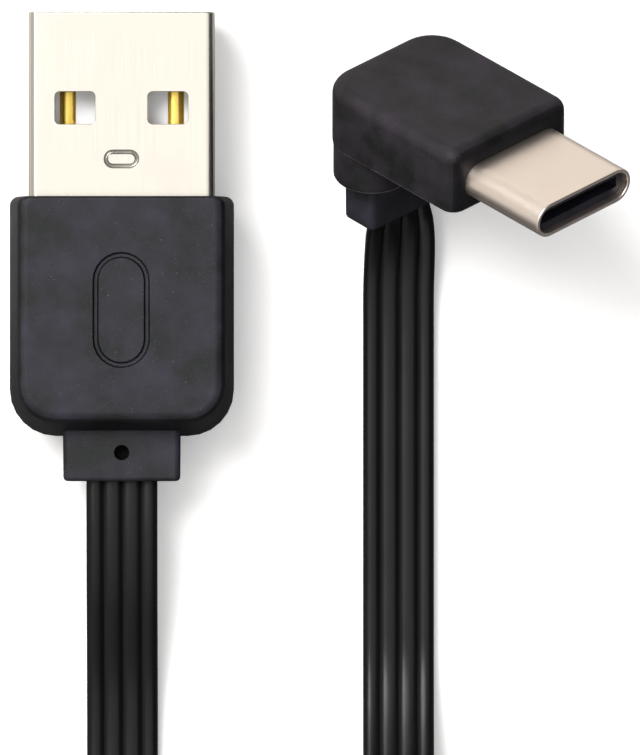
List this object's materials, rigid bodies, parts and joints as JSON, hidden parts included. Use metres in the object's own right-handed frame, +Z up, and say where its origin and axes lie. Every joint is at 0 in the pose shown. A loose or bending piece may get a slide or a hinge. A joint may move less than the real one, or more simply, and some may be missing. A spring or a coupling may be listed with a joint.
{
  "type": "charging cable",
  "caption": "Flat ribbed charging cable with a straight USB-A plug and a right-angle USB-C plug, its spare length wound in a tied coil.",
  "frame": {"origin": "middle of the USB-A plug, from its mouth to the end of its collar, on the surface that its grip lies on", "axes": "+Y towards the USB-A plug's mouth, +Z up out of the surface, +X across the plug towards the USB-C plug"},
  "size_m": [0.0666, 0.1142, 0.0202],
  "materials": {
    "nickel_shell": "nickel-plated, softly brushed",
    "nickel_shell_warm": "warm nickel-plated, satin",
    "white_insulator": "moulded",
    "black_insulator": "moulded",
    "gold_contact": "gold-plated",
    "red_core": "smooth insulation",
    "white_core": "smooth insulation",
    "green_core": "smooth insulation",
    "black_core": "smooth insulation",
    "solder": "solder",
    "inner_mould": "moulded, unfinished",
    "grip_plastic": "fine spark-eroded grain",
    "body_plastic": "fine spark-eroded grain",
    "collar_plastic": "smooth moulded",
    "ribbon_jacket": "extruded, softly shining",
    "tie_plastic": "woven band",
    "spring_steel": "stamped",
    "board": "solder mask",
    "resistor_body": "ceramic chip"
  },
  "bodies": {
    "root": {"usb_a_shell": "nickel_shell", "usb_a_insulator": "white_insulator", "usb_a_power_contacts": "gold_contact", "usb_a_data_contacts": "gold_contact", "usb_a_red_core": "red_core", "usb_a_white_core": "white_core", "usb_a_green_core": "green_core", "usb_a_black_core": "black_core", "usb_a_solder_joints": "solder", "usb_a_inner_mould": "inner_mould", "usb_a_grip": "grip_plastic", "usb_a_collar": "collar_plastic", "ribbon_a_run": "ribbon_jacket", "ribbon_coil": "ribbon_jacket", "ribbon_c_run": "ribbon_jacket", "coil_ties": "tie_plastic", "usb_c_shell": "nickel_shell_warm", "usb_c_insulator": "black_insulator", "usb_c_upper_contacts": "gold_contact", "usb_c_lower_contacts": "gold_contact", "usb_c_side_latches": "spring_steel", "usb_c_upper_spring": "spring_steel", "usb_c_lower_spring": "spring_steel", "usb_c_circuit_board": "board", "usb_c_resistor": "resistor_body", "usb_c_red_core": "red_core", "usb_c_white_core": "white_core", "usb_c_green_core": "green_core", "usb_c_black_core": "black_core", "usb_c_solder_joints": "solder", "usb_c_inner_mould": "inner_mould", "usb_c_body": "body_plastic", "usb_c_collar": "collar_plastic"}
  },
  "joints": []
}
